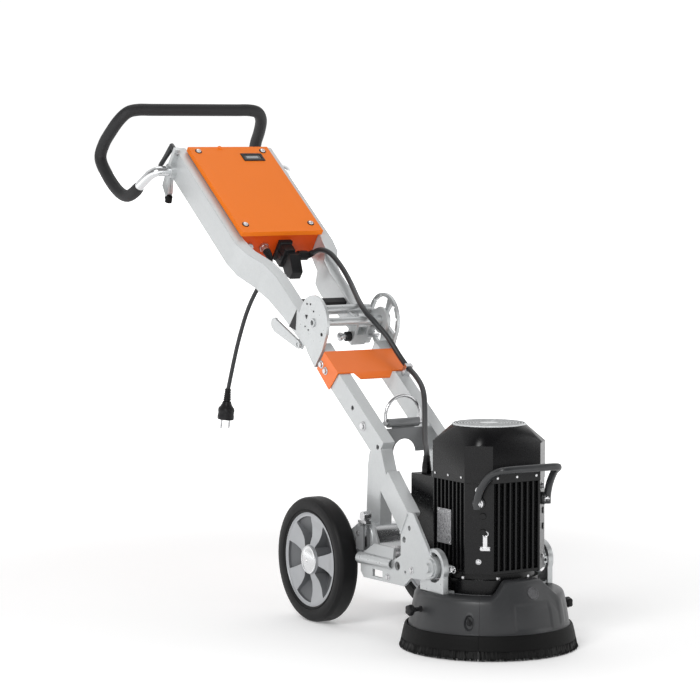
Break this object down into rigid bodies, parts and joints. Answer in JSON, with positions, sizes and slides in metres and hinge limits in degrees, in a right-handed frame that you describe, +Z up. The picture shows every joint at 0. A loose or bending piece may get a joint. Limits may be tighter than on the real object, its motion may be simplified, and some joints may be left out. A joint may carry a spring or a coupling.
{
  "type": "concrete grinder",
  "caption": "Walk-behind single-disc floor grinder: finned motor over a skirted dust cover, folding sloped frame, control box, looped handle and two transport wheels.",
  "frame": {"origin": "floor level under the middle of the machine's bounding box", "axes": "+Z up, +Y from the grinding head towards the operator's handle, X across the machine"},
  "size_m": [0.4204, 1.427, 1.0395],
  "materials": {
    "zinc_frame": "satin",
    "zinc_plate": "satin",
    "steel": "satin",
    "chrome_tube": "polished",
    "orange_lid": "satin",
    "red_body": "satin",
    "brace_orange": "satin",
    "black_plastic": "matte",
    "grey_plastic": "matte",
    "shield": "satin",
    "motor_black": "semi-gloss",
    "rubber": "matte",
    "tyre": "matte",
    "rim": "satin",
    "grip": "matte",
    "cord": "matte",
    "display": "gloss",
    "green": "gloss",
    "red": "gloss",
    "brass": "satin",
    "copper": "satin",
    "cast": "machined",
    "handle_grey": "satin"
  },
  "bodies": {
    "chassis": {"lower_frame_left": "zinc_frame", "lower_frame_right": "zinc_frame", "axle_carrier": "zinc_frame", "shield_plate": "shield", "brace_plate": "brace_orange", "frame_bolts": "steel", "wheel_axle": "steel", "fold_disc_left": "zinc_plate", "fold_ring_right": "zinc_plate", "pedal_bracket": "shield", "lead_lower": "cord"},
    "wheel_left": {"tyre_left": "tyre", "rim_left": "rim", "bearings_left": "steel"},
    "wheel_right": {"tyre_right": "tyre", "rim_right": "rim", "bearings_right": "steel"},
    "upper_frame": {"upper_rail_left": "zinc_frame", "upper_rail_right": "zinc_frame", "upper_tubes": "zinc_plate", "cross_member": "black_plastic", "control_box": "red_body", "box_lid": "orange_lid", "lid_screws": "steel", "display": "display", "drive_unit": "cast", "cable_glands": "steel", "connector_hood": "black_plastic", "lead_upper": "cord", "mains_cord": "cord", "mains_plug": "black_plastic", "handle_clamps": "zinc_plate"},
    "handle": {"handle_tube": "chrome_tube", "handle_grip": "grip"},
    "clamp_lever": {"clamp_lever": "black_plastic"},
    "fold_lever": {"fold_lever": "zinc_plate"},
    "lock_plunger": {"lock_plunger": "steel"},
    "lift_bail": {"lift_bail": "steel"},
    "foot_pedal": {"foot_pedal": "steel"},
    "head": {"motor_housing": "motor_black", "stator": "copper", "motor_bearings": "steel", "fan_cowl": "motor_black", "terminal_box": "motor_black", "front_handle": "handle_grey", "base_plate": "zinc_plate", "yoke_plates": "zinc_plate", "side_covers": "grey_plastic", "rear_hood": "grey_plastic", "rear_skirt": "rubber"},
    "head_pin": {"head_pin": "steel"},
    "front_cover": {"front_cover": "grey_plastic", "front_skirt": "rubber"},
    "knob_left": {"knob_left": "black_plastic"},
    "knob_right": {"knob_right": "black_plastic"},
    "rotor": {"rotor": "steel", "grinding_disc": "cast"},
    "start_button": {"start_button": "green"},
    "stop_button": {"stop_button": "red"},
    "speed_knob": {"speed_knob": "black_plastic"}
  },
  "joints": [
    {"name": "wheel_left_spin", "type": "hinge", "parent": "chassis", "child": "wheel_left", "pos_m": [0, -0.141, 0.125], "axis": [1, 0, 0], "continuous": true},
    {"name": "wheel_right_spin", "type": "hinge", "parent": "chassis", "child": "wheel_right", "pos_m": [0, -0.141, 0.125], "axis": [1, 0, 0], "continuous": true},
    {"name": "handle_fold", "type": "hinge", "parent": "chassis", "child": "upper_frame", "pos_m": [0, -0.037, 0.59], "axis": [1, 0, 0], "range_deg": [0, 150], "deforming": ["lead_upper"]},
    {"name": "handle_tilt", "type": "hinge", "parent": "upper_frame", "child": "handle", "pos_m": [0, 0.498, 0.892], "axis": [1, 0, 0], "range_deg": [-30, 40]},
    {"name": "clamp_lever_turn", "type": "hinge", "parent": "upper_frame", "child": "clamp_lever", "pos_m": [-0.127, 0.47944, 0.93607], "axis": [0, 0.8039, 0.5948], "range_deg": [0, 100]},
    {"name": "fold_lever_squeeze", "type": "hinge", "parent": "upper_frame", "child": "fold_lever", "pos_m": [-0.077, 0.03788, 0.54092], "axis": [1, 0, 0], "range_deg": [0, 8], "stiffness_Nm_per_rad": 2.5, "springref_deg": -5.73},
    {"name": "lock_plunger_slide", "type": "slide", "parent": "upper_frame", "child": "lock_plunger", "axis": [-1, 0, 0], "range_m": [0, 0.008]},
    {"name": "lift_bail_swing", "type": "hinge", "parent": "chassis", "child": "lift_bail", "pos_m": [0, -0.239, 0.4], "axis": [1, 0, 0], "range_deg": [-60, 60]},
    {"name": "foot_pedal_press", "type": "hinge", "parent": "chassis", "child": "foot_pedal", "pos_m": [-0.116, -0.274, 0.192], "axis": [1, 0, 0], "range_deg": [0, 18], "stiffness_Nm_per_rad": 1.5, "springref_deg": -8.59},
    {"name": "head_tilt", "type": "hinge", "parent": "chassis", "child": "head", "pos_m": [0, -0.542, 0.16], "axis": [1, 0, 0], "range_deg": [-5, 5], "deforming": ["lead_lower"]},
    {"name": "head_pin_pull", "type": "slide", "parent": "head", "child": "head_pin", "axis": [0, -1, 0], "range_m": [0, 0.008]},
    {"name": "front_cover_off", "type": "slide", "parent": "head", "child": "front_cover", "axis": [0, -1, 0], "range_m": [0, 0.08]},
    {"name": "knob_left_turn", "type": "hinge", "parent": "head", "child": "knob_left", "pos_m": [-0.16, -0.54, 0.084], "axis": [-1, 0, 0], "continuous": true},
    {"name": "knob_right_turn", "type": "hinge", "parent": "head", "child": "knob_right", "pos_m": [0.16, -0.556, 0.069], "axis": [1, 0, 0], "continuous": true},
    {"name": "rotor_spin", "type": "hinge", "parent": "head", "child": "rotor", "pos_m": [0, -0.542, 0.16], "axis": [0, 0, 1], "continuous": true},
    {"name": "start_press", "type": "slide", "parent": "upper_frame", "child": "start_button", "axis": [0, -0.8039, -0.5948], "range_m": [0, 0.003], "stiffness_N_per_m": 600, "springref_m": -0.002},
    {"name": "stop_press", "type": "slide", "parent": "upper_frame", "child": "stop_button", "axis": [0, -0.8039, -0.5948], "range_m": [0, 0.005], "stiffness_N_per_m": 800, "springref_m": -0.002},
    {"name": "speed_turn", "type": "hinge", "parent": "upper_frame", "child": "speed_knob", "pos_m": [0.054, 0.49824, 0.90395], "axis": [0, 0.8039, 0.5948], "range_deg": [-135, 135]}
  ],
  "couplings": [
    {"joint": "lock_plunger_slide", "follows": "fold_lever_squeeze", "m_per_rad": 0.055863}
  ]
}
